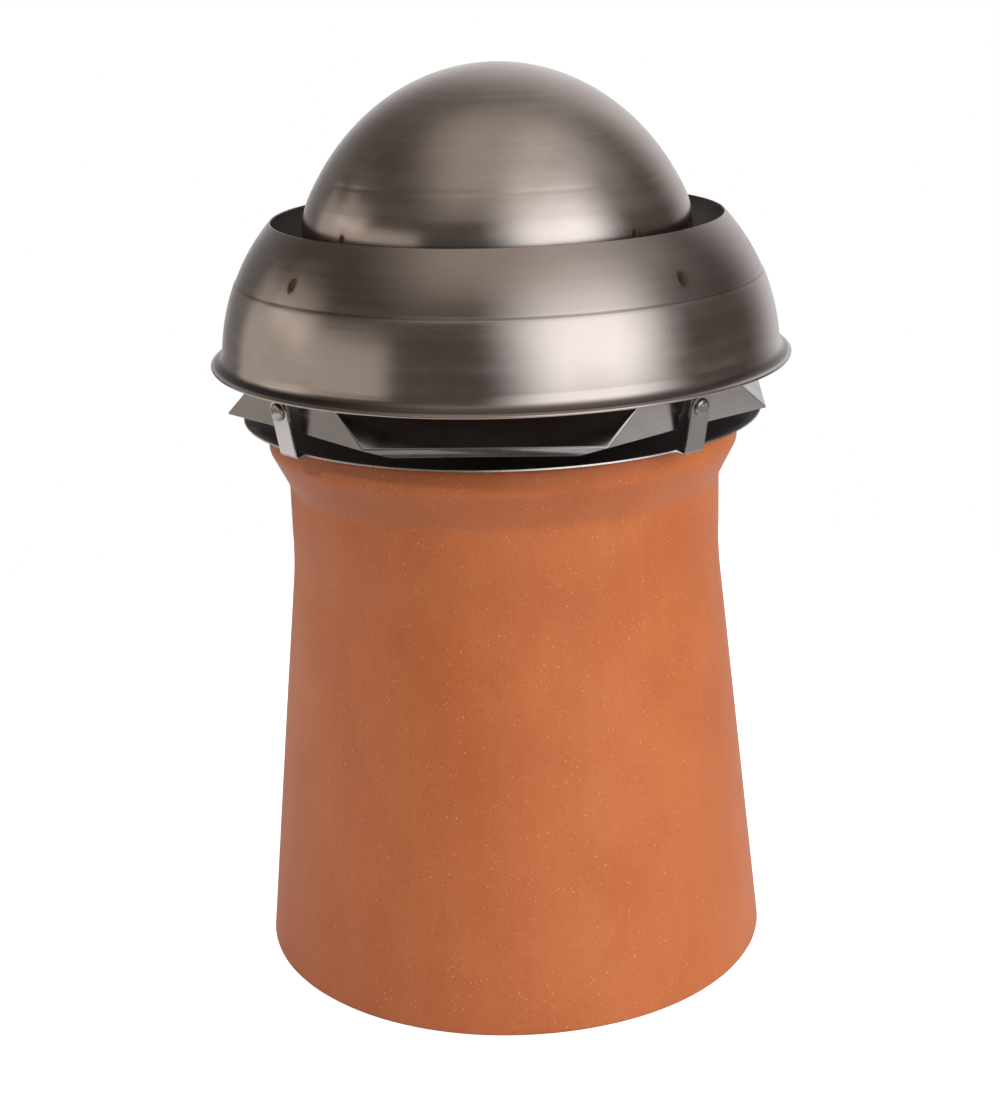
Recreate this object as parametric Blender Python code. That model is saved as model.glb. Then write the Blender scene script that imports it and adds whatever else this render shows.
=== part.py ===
"""A domed steel chimney cowl on its terracotta pot, in metres, +Z up.

The origin is the middle of the pot's underside. Heights are chained from the bottom up: the dish sits on
the pot's mouth, and the louvre body, the wind ring and the dome are set above the dish's rim. Radii are
chained from the pot's mouth outwards. The cowl is turned a little on its pot, and what repeats at its four
corners is made once and turned.
"""
import math

import bmesh
import bpy
from mathutils import Matrix, Vector

# General
GAP = 0.0003                    # left between pieces that touch
SEGMENTS = 40                   # sides of the turned pieces
RIVET_SEGMENTS = 12
BEND_STEPS = 2                  # sides of a rounded bend
DISH_SPOKES = 8                 # plain stretches of the dish between two straps
HEAD_STEPS = 6                  # sides of a strap's round top and of a slot's arch
RING_STEPS = 8                  # sides of the wind ring's wall, from lip to mouth
SHOULDER_STEPS = 3              # sides of the dome's shoulder
CROWN_STEPS = 9                 # sides of the dome's crown, from shoulder to top
SMOOTH_ANGLE = math.radians(30)  # edges sharper than this stay sharp
MERGE_DISTANCE = 1e-6
SHEET = 0.001                   # thickness of the steel sheet
COWL_TURN = math.radians(-4)    # the cowl's louvres against the X and Y axes
CORNERS = 4
CORNER_OFFSET = math.radians(45)  # from a louvre's middle to the strap beside it

# Pot
POT_HEIGHT = 0.375
POT_BASE_RADIUS = 0.1748
POT_NECK_RADIUS = 0.145
POT_MOUTH_FLARE = 0.012         # how much wider the mouth is than the neck
POT_WALL = 0.018
POT_TAPER_HEIGHT = 0.276        # where the taper runs into the neck
POT_FLARE_HEIGHT = 0.024
POT_RIM_BAND = 0.018            # the upright band round the mouth
POT_NECK_EASE = 0.25            # radius of the soft bend from taper to neck
POT_FLARE_EASE = 0.022          # radius of the bends of the flare
POT_EDGE_RADIUS = 0.005

# Base dish with its straps
DISH_OVERHANG = 0.0156          # past the pot's mouth
DISH_DEPTH = 0.0027             # from the underside to the rim
DISH_RIM_RUN = 0.0066           # how far out the rim slopes
DISH_EASE = 0.012
COLLAR_RADIUS = 0.12            # the hole for the flue, with its edge turned down into the pot
COLLAR_DEPTH = 0.02
COLLAR_EASE = 0.004
STRAP_WIDTH = 0.016
STRAP_STANDOFF = 0.0034         # the strap's fold past the dish's rim
STRAP_FOLD_DROP = 0.0028        # the strap's fold below the dish's rim
STRAP_TOP = 0.035               # above the dish's rim
STRAP_LEAN = math.radians(11)
WEB_WIDTH = 0.003               # of the rim drawn down to the fold on each side of a strap
RIVET_HEIGHT = 0.0272           # above the dish's rim
RIVET_SHANK_RADIUS = 0.0025
RIVET_HEAD_RADIUS = 0.0056
RIVET_HEAD_HEIGHT = 0.0026
RIVET_TAIL_RADIUS = 0.0042
RIVET_TAIL_HEIGHT = 0.0016

# Louvre body
LOUVRE_LIFT = 0.0135            # of its lower fold above the dish's rim
LOUVRE_HEIGHT = 0.0365
LOUVRE_CORNER_INSET = 0.0006    # of a corner plate inside the dish's rim
LOUVRE_SETBACK = 0.001          # of a louvre's lower fold inside the corner plates
LOUVRE_SLOPE = math.radians(42.7)  # from upright
LIP_DROP = 0.005
LIP_HALF_WIDTH = 0.056
SLOT_HALF_WIDTH = 0.0095
SLOT_HEIGHT = 0.0165            # to the top of its arch

# Legs
LEG_THICKNESS = 0.0015
LEG_WIDTH = 0.016
LEG_PAST_RIVET = 0.0065         # how far it runs straight on each side of the rivet
LEG_BEND = 0.003
LEG_ABOVE_LIP = 0.02            # where it meets the ring's wall, above the lip
LEG_BELOW_MOUTH = 0.014         # where it leaves the ring's wall, below the mouth
LEG_HOOK_DROP = 0.008           # of its hook below the dome's edge
LEG_IN_DOME = 0.042             # how far it runs up inside the dome

# Wind ring
RING_LIFT = 0.0383              # of its lip above the dish's rim
RING_OVERHANG = 0.0119          # of its wall past the dish's rim
RING_LIP = 0.0077               # of its lip past the wall
RING_LIP_RISE = 0.0032
RING_LIP_EASE = 0.01
RING_HEIGHT = 0.0897
RING_CURVE_WIDTH = 0.12         # half axes of the wall's elliptical curve
RING_CURVE_HEIGHT = 0.13
RING_CURVE_DROP = 0.0018        # of the curve's widest place below the lip

# Dome
CAP_GAP = 0.0209                # between the ring's mouth and the dome
DOME_LIFT = 0.092               # of its edge above the dish's rim
DOME_HEIGHT = 0.1326
DOME_CURVE_SPREAD = 0.0118      # of the crown's elliptical curve past the skirt, at its widest
DOME_CURVE_HEIGHT = 0.1588      # half axis of that curve
DOME_SHOULDER = 0.0045          # where the crown's curve ends, inside the skirt
DOME_SKIRT_HEIGHT = 0.027

# Worked-out places
MOUTH_RADIUS = POT_NECK_RADIUS + POT_MOUTH_FLARE
DISH_UNDERSIDE = POT_HEIGHT + GAP
RIM_RADIUS = MOUTH_RADIUS + DISH_OVERHANG
RIM_HEIGHT = DISH_UNDERSIDE + DISH_DEPTH
LOUVRE_BOTTOM = RIM_HEIGHT + LOUVRE_LIFT
LOUVRE_CORNER = RIM_RADIUS - LOUVRE_CORNER_INSET
RING_RADIUS = RIM_RADIUS + RING_OVERHANG
RING_BOTTOM = RIM_HEIGHT + RING_LIFT
DOME_BOTTOM = RIM_HEIGHT + DOME_LIFT
FLAT_SIDE = math.cos(math.pi / SEGMENTS)  # a flat side's distance against its corners' radius


def clear_scene():
    for old in list(bpy.data.objects):
        bpy.data.objects.remove(old, do_unlink=True)


def material(name, color, roughness, metallic):
    made = bpy.data.materials.new(name)
    made.use_nodes = True
    shader = made.node_tree.nodes["Principled BSDF"]
    shader.inputs["Base Color"].default_value = (*color, 1)
    shader.inputs["Roughness"].default_value = roughness
    shader.inputs["Metallic"].default_value = metallic
    return made


# Profiles: lists of (radius, height)

def filleted(corners, steps):
    """The line through the corners, with each corner rounded by its third value, a radius."""
    points = []
    for i, (r, z, radius) in enumerate(corners):
        here = Vector((r, z))
        if radius <= 0 or i in (0, len(corners) - 1):
            points.append(here)
            continue
        back = (Vector(corners[i - 1][:2]) - here).normalized()
        ahead = (Vector(corners[i + 1][:2]) - here).normalized()
        half = back.angle(ahead) / 2
        tangent = radius / math.tan(half)
        centre = here + (back + ahead).normalized() * radius / math.sin(half)
        start = here + back * tangent - centre
        end = here + ahead * tangent - centre
        sweep = start.angle_signed(end)
        for k in range(steps + 1):
            spoke = start.copy()
            spoke.rotate(Matrix.Rotation(-sweep * k / steps, 2))
            points.append(centre + spoke)
    return [(p.x, p.y) for p in points]


def offset(points, distance):
    """The line moved to its left by a distance, mitred at its corners."""
    line = [Vector(p) for p in points]
    sides = []
    for a, b in zip(line, line[1:]):
        run = (b - a).normalized()
        sides.append(Vector((-run.y, run.x)))
    moved = []
    for i, p in enumerate(line):
        before = sides[max(i - 1, 0)]
        after = sides[min(i, len(sides) - 1)]
        mitre = (before + after).normalized()
        moved.append(p + mitre * distance / mitre.dot(after))
    return [(p.x, p.y) for p in moved]


def arc(centre, width, height, start, end, steps):
    """Part of an ellipse, by its two half axes."""
    points = []
    for k in range(steps + 1):
        t = start + (end - start) * k / steps
        points.append((centre[0] + width * math.cos(t), centre[1] + height * math.sin(t)))
    return points


def eased(start, corner, end, steps):
    """A curve from start to end that leaves and arrives towards the corner."""
    points = []
    for k in range(1, steps):
        t = k / steps
        a, b, c = (1 - t) ** 2, 2 * t * (1 - t), t * t
        points.append((a * start[0] + b * corner[0] + c * end[0],
                       a * start[1] + b * corner[1] + c * end[1]))
    return points


def pot_profile():
    """The pot's wall, anticlockwise from its outer foot: out, up, over the mouth and down the bore."""
    flare_top = POT_HEIGHT - POT_RIM_BAND
    flare_foot = flare_top - POT_FLARE_HEIGHT
    bore = [(radius - POT_WALL, height) for radius, height in (
        (MOUTH_RADIUS, POT_HEIGHT), (MOUTH_RADIUS, flare_top), (POT_NECK_RADIUS, flare_foot),
        (POT_NECK_RADIUS, POT_TAPER_HEIGHT), (POT_BASE_RADIUS, 0))]
    outside = [(POT_BASE_RADIUS - POT_EDGE_RADIUS, 0, 0),
               (POT_BASE_RADIUS, 0, POT_EDGE_RADIUS / 2),
               (POT_NECK_RADIUS, POT_TAPER_HEIGHT, POT_NECK_EASE),
               (POT_NECK_RADIUS, flare_foot, POT_FLARE_EASE),
               (MOUTH_RADIUS, flare_top, POT_FLARE_EASE / 2),
               (MOUTH_RADIUS, POT_HEIGHT, POT_EDGE_RADIUS),
               (MOUTH_RADIUS - POT_WALL / 2, POT_HEIGHT, 0)]
    return filleted(outside, BEND_STEPS) + bore


def dish_line():
    """The middle of the dish's sheet, from the collar's lower edge out to the rim."""
    floor = DISH_UNDERSIDE + SHEET / 2
    return filleted([(COLLAR_RADIUS, floor - COLLAR_DEPTH, 0),
                     (COLLAR_RADIUS, floor, COLLAR_EASE),
                     (RIM_RADIUS - DISH_RIM_RUN, floor, DISH_EASE),
                     (RIM_RADIUS, RIM_HEIGHT, 0)], BEND_STEPS)


def ring_line():
    """The ring's outer face, from its lip's edge up to its mouth."""
    centre = (RING_RADIUS - RING_CURVE_WIDTH, RING_BOTTOM - RING_CURVE_DROP)
    lip = filleted([(RING_RADIUS + RING_LIP, RING_BOTTOM, 0),
                    (RING_RADIUS, RING_BOTTOM + RING_LIP_RISE, RING_LIP_EASE),
                    (RING_RADIUS, RING_BOTTOM + RING_HEIGHT, 0)], BEND_STEPS + 1)[:-1]
    first = math.asin((lip[-1][1] - centre[1]) / RING_CURVE_HEIGHT)
    last = math.asin((RING_BOTTOM + RING_HEIGHT - centre[1]) / RING_CURVE_HEIGHT)
    wall = arc(centre, RING_CURVE_WIDTH, RING_CURVE_HEIGHT, first, last, RING_STEPS)
    return lip[:-1] + wall


def dome_line():
    """The dome's outer face, from its edge up the skirt and over the crown to the middle."""
    radius = ring_line()[-1][0] - SHEET - CAP_GAP
    top = DOME_BOTTOM + DOME_HEIGHT
    centre = (0, top - DOME_CURVE_HEIGHT)
    width = radius + DOME_CURVE_SPREAD
    first = math.acos((radius - DOME_SHOULDER) / width)
    crown = arc(centre, width, DOME_CURVE_HEIGHT, first, math.pi / 2, CROWN_STEPS)
    crown[-1] = (0, top)
    skirt_top = (radius, DOME_BOTTOM + DOME_SKIRT_HEIGHT)
    corner = (radius, (skirt_top[1] + crown[0][1]) / 2)
    shoulder = eased(skirt_top, corner, crown[0], SHOULDER_STEPS)
    return [(radius, DOME_BOTTOM), skirt_top] + shoulder + crown


def dome_inner_line():
    inner = offset(dome_line(), SHEET)
    inner[-1] = (0, inner[-1][1])
    return inner


# Meshes

def add_object(name, mesh, finish):
    made = bpy.data.objects.new(name, mesh)
    made.data.materials.append(finish)
    bpy.context.scene.collection.objects.link(made)
    return made


def finish_mesh(name, shape):
    bmesh.ops.recalc_face_normals(shape, faces=shape.faces)
    mesh = bpy.data.meshes.new(name)
    shape.to_mesh(mesh)
    shape.free()
    mesh.shade_smooth()
    mesh.set_sharp_from_angle(angle=SMOOTH_ANGLE)
    return mesh


def turned(name, profile, finish, segments=SEGMENTS):
    """A profile turned round the Z axis. It is closed, or starts and ends on the axis."""
    shape = bmesh.new()
    loop = [shape.verts.new((r, 0, z)) for r, z in profile]
    edges = []
    for a, b in zip(loop, loop[1:] + loop[:1]):
        if a.co.x > 0 or b.co.x > 0:
            edges.append(shape.edges.new((a, b)))
    bmesh.ops.spin(shape, geom=loop + edges, cent=(0, 0, 0), axis=(0, 0, 1),
                   angle=2 * math.pi, steps=segments, use_duplicate=False)
    bmesh.ops.remove_doubles(shape, verts=shape.verts, dist=MERGE_DISTANCE)
    return add_object(name, finish_mesh(name, shape), finish)


def turn_to(index):
    """The turn that brings what is modelled at +X to a corner of the cowl."""
    louvre_middle = COWL_TURN - math.pi / 2
    return Matrix.Rotation(louvre_middle + CORNER_OFFSET + index * 2 * math.pi / CORNERS, 4, "Z")


def strap_path():
    """The middle of a strap's sheet as (radius, height): its fold, and its straight part's end."""
    fold = Vector((RIM_RADIUS + STRAP_STANDOFF, RIM_HEIGHT - STRAP_FOLD_DROP))
    rise = RIM_HEIGHT + STRAP_TOP - fold.y - STRAP_WIDTH / 2
    top = fold + Vector((math.tan(STRAP_LEAN), 1)) * rise
    return fold, top


def rivet_place():
    """The matrix that puts a rivet, modelled along +Z, through the strap at +X, and its head outside."""
    radius, height = strap_at(RIM_HEIGHT + RIVET_HEIGHT)
    tilt = Matrix.Rotation(math.pi / 2 + STRAP_LEAN, 4, "Y")
    return Matrix.Translation((radius, 0, height)) @ tilt


def hole_guide(index):
    """The round guide that a strap and the leg behind it are drilled by."""
    shape = bmesh.new()
    radius = RIVET_SHANK_RADIUS + GAP
    bmesh.ops.create_cone(shape, cap_ends=True, segments=RIVET_SEGMENTS, radius1=radius,
                          radius2=radius, depth=STRAP_WIDTH)
    guide = bpy.data.objects.new(f"rivet_hole_guide_{index + 1}", finish_mesh("rivet_hole_guide", shape))
    bpy.context.scene.collection.objects.link(guide)
    guide.matrix_world = turn_to(index) @ rivet_place()
    guide.hide_render = True
    guide.display_type = "WIRE"
    return guide


def drill(piece, guide):
    hole = piece.modifiers.new("rivet hole", "BOOLEAN")
    hole.operation = "DIFFERENCE"
    hole.solver = "EXACT"
    hole.object = guide


def thicken(piece):
    skin = piece.modifiers.new("sheet", "SOLIDIFY")
    skin.thickness = SHEET
    skin.offset = 0
    skin.use_even_offset = True


def radius_at(path, height):
    """The radius where a path that starts at its foot first reaches a height."""
    for (r0, z0), (r1, z1) in zip(path, path[1:]):
        if z0 <= height <= z1:
            return r0 + (r1 - r0) * (height - z0) / (z1 - z0)
    return path[-1][0]


def leg_path():
    """The middle of a leg's strip: up behind the strap, along the ring's wall, and hooked into the dome."""
    behind = SHEET / 2 + GAP + LEG_THICKNESS / 2
    along = Vector((math.sin(STRAP_LEAN), math.cos(STRAP_LEAN)))
    inward = Vector((-along.y, along.x))
    rivet = Vector(strap_at(RIM_HEIGHT + RIVET_HEIGHT)) + inward * behind
    foot = rivet - along * LEG_PAST_RIVET
    bend = rivet + along * LEG_PAST_RIVET

    def against(line, low, high):
        """The points of a turned wall between two heights, moved in so that the flat strip clears it."""
        inset = SHEET + GAP + LEG_THICKNESS / 2
        return [(r * FLAT_SIDE - LEG_WIDTH ** 2 / 8 / r, z, 0)
                for r, z in offset(line, inset) if low <= z <= high]

    ring_top = RING_BOTTOM + RING_HEIGHT
    wall = against(ring_line(), RING_BOTTOM + LEG_ABOVE_LIP, ring_top - LEG_BELOW_MOUTH)
    wall[-1] = (*wall[-1][:2], LEG_BEND)
    inside = against(dome_line(), DOME_BOTTOM - GAP, DOME_BOTTOM + LEG_IN_DOME)
    hook = (inside[0][0], DOME_BOTTOM - LEG_HOOK_DROP, LEG_BEND)
    return filleted([(*foot, 0), (*bend, LEG_BEND)] + wall + [hook] + inside[1:], BEND_STEPS)


def strap_at(height):
    """The middle of the strap's sheet at a height."""
    fold, top = strap_path()
    share = (height - fold.y) / (top.y - fold.y)
    return tuple(fold.lerp(top, share))


def make_pot(finish):
    return turned("pot", pot_profile(), finish)


def make_base_dish(finish, guides):
    """The dish as one sheet: its spokes of points, and the straps, with the rim drawn down to their folds."""
    line = dish_line()
    root_radius = line[-2][0]
    strap_half = math.asin(STRAP_WIDTH / 2 / root_radius)
    web_half = strap_half + WEB_WIDTH / root_radius
    plain_turn = 2 * math.pi / CORNERS - 2 * web_half
    plain = [web_half + plain_turn * k / DISH_SPOKES for k in range(DISH_SPOKES + 1)]
    spokes = [-strap_half, strap_half] + plain
    shape = bmesh.new()
    columns = []
    for index in range(CORNERS):
        for spoke in spokes:
            turn = turn_to(index) @ Matrix.Rotation(spoke, 4, "Z")
            kept = line[:-1] if abs(spoke) == strap_half else line
            columns.append([shape.verts.new(turn @ Vector((r, 0, z))) for r, z in kept])
    for a, b in zip(columns, columns[1:] + columns[:1]):
        for k in range(len(line) - 2):
            shape.faces.new((a[k], b[k], b[k + 1], a[k + 1]))
        rim = [a[-1]] * (len(a) == len(line)) + [b[-1]] * (len(b) == len(line))
        if rim:
            shape.faces.new([a[len(line) - 2], b[len(line) - 2]] + rim[::-1])
    half = STRAP_WIDTH / 2
    fold, top = strap_path()
    along = (top - fold).normalized()
    for index in range(CORNERS):
        place = turn_to(index)
        first = index * len(spokes)
        root = [columns[first][-1], columns[first + 1][-1]]
        rim = [columns[first - 1][-1], columns[first + 2][-1]]
        bend = [shape.verts.new(place @ Vector((fold.x, side * half, fold.y))) for side in (-1, 1)]
        shape.faces.new((root[0], root[1], bend[1], bend[0]))
        for k in (0, 1):
            shape.faces.new((root[k], bend[k], rim[k]))
        head = []
        for k in range(HEAD_STEPS + 1):
            turn = math.pi * k / HEAD_STEPS
            up = top + along * half * math.sin(turn)
            head.append(shape.verts.new(place @ Vector((up.x, half * math.cos(turn), up.y))))
        shape.faces.new(bend + head)
    dish = add_object("base_dish", finish_mesh("base_dish", shape), finish)
    thicken(dish)
    for guide in guides:
        drill(dish, guide)
    return dish


def make_rivet(index, finish):
    """A round-headed rivet through the strap and the leg behind it."""
    outer = SHEET / 2 + GAP
    inner = -(SHEET / 2 + GAP + LEG_THICKNESS + GAP)
    head = arc((0, outer), RIVET_HEAD_RADIUS, RIVET_HEAD_HEIGHT, 0, math.pi / 2, BEND_STEPS + 1)
    head[-1] = (0, outer + RIVET_HEAD_HEIGHT)
    shank = [(0, inner - RIVET_TAIL_HEIGHT), (RIVET_TAIL_RADIUS, inner - RIVET_TAIL_HEIGHT),
             (RIVET_TAIL_RADIUS, inner), (RIVET_SHANK_RADIUS, inner), (RIVET_SHANK_RADIUS, outer)]
    rivet = turned(f"rivet_{index + 1}", shank + head, finish, RIVET_SEGMENTS)
    rivet.matrix_world = turn_to(index) @ rivet_place()
    return rivet


def make_leg(index, finish, guide):
    """A flat strip bent along the leg's path, with the rivet's hole."""
    path = leg_path()
    outline = offset(path, LEG_THICKNESS / 2) + offset(path, -LEG_THICKNESS / 2)[::-1]
    half = LEG_WIDTH / 2
    shape = bmesh.new()
    sides = [[shape.verts.new((r, y, z)) for r, z in outline] for y in (-half, half)]
    count = len(path)
    last = len(outline) - 1
    for side in sides:
        for k in range(count - 1):
            shape.faces.new((side[k], side[k + 1], side[last - k - 1], side[last - k]))
    for k in range(len(outline)):
        ahead = (k + 1) % len(outline)
        shape.faces.new((sides[0][k], sides[0][ahead], sides[1][ahead], sides[1][k]))
    leg = add_object(f"leg_{index + 1}", finish_mesh("leg", shape), finish)
    leg.matrix_world = turn_to(index)
    drill(leg, guide)
    return leg


def make_louvre_body(finish):
    """Four corner plates with arched slots, and four louvres between them with turned-down lips."""
    bottom = LOUVRE_BOTTOM
    top = LOUVRE_BOTTOM + LOUVRE_HEIGHT
    low_reach = LOUVRE_CORNER - LOUVRE_SETBACK
    high_reach = low_reach - LOUVRE_HEIGHT * math.tan(LOUVRE_SLOPE)
    low_half = low_reach * math.sqrt(2) - LOUVRE_CORNER
    high_half = high_reach * math.sqrt(2) - LOUVRE_CORNER
    ear_half = LEG_WIDTH / 2
    ear_reach = radius_at(leg_path(), top) - LEG_THICKNESS / 2 - GAP
    arch = bottom + SLOT_HEIGHT - SLOT_HALF_WIDTH
    shape = bmesh.new()
    edges = []
    for index in range(CORNERS):
        place = turn_to(index)

        def point(side, height, distance=LOUVRE_CORNER, place=place):
            return shape.verts.new(place @ Vector((distance, side, height)))

        low = [point(-low_half, bottom), point(low_half, bottom)]
        high = [point(-high_half, top), point(high_half, top)]
        ear = [point(-ear_half, top), point(ear_half, top)]
        slot = [point(-SLOT_HALF_WIDTH, bottom)]
        for k in range(HEAD_STEPS + 1):
            turn = math.pi * (1 - k / HEAD_STEPS)
            slot.append(point(SLOT_HALF_WIDTH * math.cos(turn), arch + SLOT_HALF_WIDTH * math.sin(turn)))
        slot.append(point(SLOT_HALF_WIDTH, bottom))
        shape.faces.new([low[0]] + slot + [low[1], high[1], ear[1], ear[0], high[0]])
        tip = [point(-ear_half, top, ear_reach), point(ear_half, top, ear_reach)]
        shape.faces.new((ear[0], ear[1], tip[1], tip[0]))
        edges.append((low, high))
    for index in range(CORNERS):
        (near_low, near_high), (far_low, far_high) = edges[index], edges[(index + 1) % CORNERS]
        shape.faces.new((near_low[1], far_low[0], far_high[0], near_high[1]))
        middle = (near_low[1].co + far_low[0].co) / 2
        across = (far_low[0].co - near_low[1].co).normalized()
        down = Vector((0, 0, -LIP_DROP))
        lip = [shape.verts.new(middle + across * side * LIP_HALF_WIDTH + down) for side in (-1, 1)]
        shape.faces.new((near_low[1], lip[0], lip[1], far_low[0]))
    body = add_object("louvre_body", finish_mesh("louvre_body", shape), finish)
    thicken(body)
    return body


def make_wind_ring(finish):
    line = ring_line()
    return turned("wind_ring", line + offset(line, SHEET)[::-1], finish)


def make_dome(finish):
    return turned("dome", dome_line() + dome_inner_line()[::-1], finish)


def main():
    clear_scene()
    clay = material("terracotta", (0.42, 0.13, 0.05), 0.55, 0)
    spun = material("spun steel", (0.36, 0.33, 0.31), 0.35, 1)
    folded = material("folded steel", (0.45, 0.42, 0.4), 0.4, 1)
    bright = material("rivet steel", (0.55, 0.53, 0.52), 0.3, 1)
    guides = [hole_guide(index) for index in range(CORNERS)]
    make_pot(clay)
    make_base_dish(folded, guides)
    make_louvre_body(folded)
    for index in range(CORNERS):
        make_leg(index, folded, guides[index])
        make_rivet(index, bright)
    make_wind_ring(spun)
    make_dome(spun)


main()
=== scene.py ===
"""The finish of a domed steel chimney cowl on its terracotta pot, in metres, +Z up.

Each operator makes one piece, or a group of like pieces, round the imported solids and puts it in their
place. The sheet metal is turned or folded again with fine curves, rounded folds and cut edges, and the
pot with its bore, soft creases and the small unevenness of fired clay.
"""
import math

import bmesh
import bpy
from bpy.props import FloatProperty, FloatVectorProperty, IntProperty, PointerProperty
from bpy.types import Operator, Panel, PropertyGroup
from mathutils import Matrix, Vector, noise


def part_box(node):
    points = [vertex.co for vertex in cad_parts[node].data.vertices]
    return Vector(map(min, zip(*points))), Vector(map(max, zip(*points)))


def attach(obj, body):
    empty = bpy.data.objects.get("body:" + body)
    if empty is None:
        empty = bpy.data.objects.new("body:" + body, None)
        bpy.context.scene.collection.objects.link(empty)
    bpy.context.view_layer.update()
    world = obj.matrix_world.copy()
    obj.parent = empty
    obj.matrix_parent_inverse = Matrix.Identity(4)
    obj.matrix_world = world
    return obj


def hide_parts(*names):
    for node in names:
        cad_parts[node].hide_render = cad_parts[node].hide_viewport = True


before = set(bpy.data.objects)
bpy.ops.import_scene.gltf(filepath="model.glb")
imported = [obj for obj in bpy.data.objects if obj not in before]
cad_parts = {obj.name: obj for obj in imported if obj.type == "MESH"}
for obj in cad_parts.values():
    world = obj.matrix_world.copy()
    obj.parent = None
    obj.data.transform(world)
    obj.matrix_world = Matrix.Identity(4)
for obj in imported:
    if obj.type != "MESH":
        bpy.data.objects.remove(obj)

bl_info = {
    "name": "Domed chimney cowl",
    "version": (1, 0, 0),
    "blender": (4, 5, 0),
    "location": "3D View > Sidebar > Cowl",
    "description": "Makes the finished pieces of a chimney cowl on its pot",
    "category": "Object",
}

CORNERS = 4
QUARTER = 2 * math.pi / CORNERS
STRAP_PARTS = 8                 # stretches across a strap
WEB_PARTS = 5                   # stretches of the rim drawn down beside a strap
RIM_PARTS = 44                  # stretches of the rim from one web to the next
FOLD_PARTS = 8                  # sides of a strap's fold
HEAD_PARTS = 10                 # sides of a quarter of a strap's round top
ARCH_PARTS = 16                 # sides of the arch of a corner plate's slot
RIVET_SIDES = 48
SAME_POINT = 0.00002            # metres within which the dish's grids share their points
EDGE_CROWN = 0.0003             # metres that the middle of a spun edge stands out of its ends
# The longest stretch between a mesh's rows, in metres.
DISH_SPACING = 0.006
STRAP_SPACING = 0.003
RING_SPACING = 0.0016
DOME_SPACING = 0.0022
# The half angle on each side of a weld where the sides are finer, and how many there are in it.
RING_WELD_SIDES = (math.radians(3.2), 16)
DOME_WELD_SIDES = (math.radians(4), 14)
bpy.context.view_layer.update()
POT_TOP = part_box("pot")[1]
RING_LOW, RING_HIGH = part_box("wind_ring")
DOME_LOW, DOME_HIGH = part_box("dome")
RIVET_MIDDLE = (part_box("rivet_1")[0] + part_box("rivet_1")[1]) / 2
FIRST_CORNER = math.atan2(RIVET_MIDDLE.y, RIVET_MIDDLE.x)
NO_STEP = 2 * DOME_HIGH.z       # a height for the step of a piece that has none

# Heights on the spun steel, in metres: over its step, where painted shade darkens the wall and where its
# painted dark line is, the line's sharp and faded half widths, and over the lip's edge, where the painted
# shade at the lip's root fades in and out.
UPPER_SHADE_FADE = 0.004
STEP_SHADE_LINE = 0.0008
STEP_SHADE_LINE_WIDTHS = (0.0003, 0.0011)
LIP_SHADE_IN = (0.0008, 0.0014)
LIP_SHADE_OUT = (0.0028, 0.0065)
# Each kind of grain in the clay: its cells to a metre, its size in a cell, the share of cells without it,
# and whether it is dark.
CLAY_GRAINS = (
    (330, 0.15, 0.93, False),
    (620, 0.2, 0.90, False),
    (210, 0.085, 0.88, True),
    (480, 0.15, 0.93, True),
)

WARM = (1.06, 1.0, 0.93)
NEUTRAL = (1.0, 1.0, 1.05)
COOL = (0.94, 1.0, 1.07)
# Each soft box of the room, in degrees: its turn from the viewer towards +X, its rise, where its edges
# start and end to fade, sideways and upwards from its middle, and its radiance and tint.
SOFT_BOXES = (
    (38, 16, (10, 45), (8, 49), 1.88, COOL),
    (-5, 75, (10, 46), (12, 42), 0.45, WARM),
    (72, 56, (10, 40), (6, 30), 0.3, NEUTRAL),
    (-88, -5, (38, 46), (21, 25), 0.46, WARM),
    (-100, 19, (8, 18), (6, 12), 0.42, WARM),
    (92, -19, (12, 26), (3, 8), 1.9, NEUTRAL),
    (165, 0, (10, 49), (14, 74), 0.65, NEUTRAL),
    (138, 58, (30, 70), (8, 44), 0.1, NEUTRAL),
    (-160, 0, (10, 40), (12, 40), 0.12, NEUTRAL),
)
# Each soft lamp: its turn and rise, its distance and size in metres, and its radiance.
SOFT_LAMPS = (
    ("fill right", 60, 20, 2.4, 1.8, 5.1),
    ("fill left", -38, 38, 2.4, 0.3, 62.0),
    ("left edge", -115, 18, 2.2, 1.4, 2.5),
    ("floor fill", 0, 88, 2.6, 2.2, 1.2),
)
# Where along X, in metres, the painted glow of the floor's left edge fades out, and its right side darkens
# with painted shade.
FLOOR_LEFT_GLOW = (-0.85, -0.45)
FLOOR_RIGHT_SHADE = (0.4, 0.8)
FLOOR_DROP = 0.0002             # metres under the foot, so that the two don't flicker
ROOM_HORIZON = (math.radians(-20), math.radians(-8))    # where the room's light fades below the horizon


def length(name, description, default):
    return FloatProperty(name=name, description=description, default=default, min=0,
                         subtype="DISTANCE", unit="LENGTH", precision=5)


def angle(name, description, degrees):
    return FloatProperty(name=name, description=description, default=math.radians(degrees),
                         subtype="ANGLE", unit="ROTATION")


def colour(name, description, default):
    return FloatVectorProperty(name=name, description=description, default=default, min=0, max=1,
                               size=3, subtype="COLOR")


def share(name, description, default):
    return FloatProperty(name=name, description=description, default=default, min=0, max=1,
                         subtype="FACTOR")


class GeneralSizes(PropertyGroup):
    """Sizes that several pieces share"""
    sheet: length("Sheet", "Thickness of the steel sheet", 0.001)
    edge: length("Edge rounding", "Rounding of the sheet's cut edges", 0.00025)
    fold: length("Fold radius", "Outer size of a fold's rounding", 0.0007)
    gap: length("Gap", "Left between pieces that touch", 0.0003)
    segments: IntProperty(name="Segments", description="Sides of the turned pieces", default=224, min=24)
    bend_steps: IntProperty(name="Bend steps", description="Sides of a rounded bend", default=8, min=2)


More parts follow.
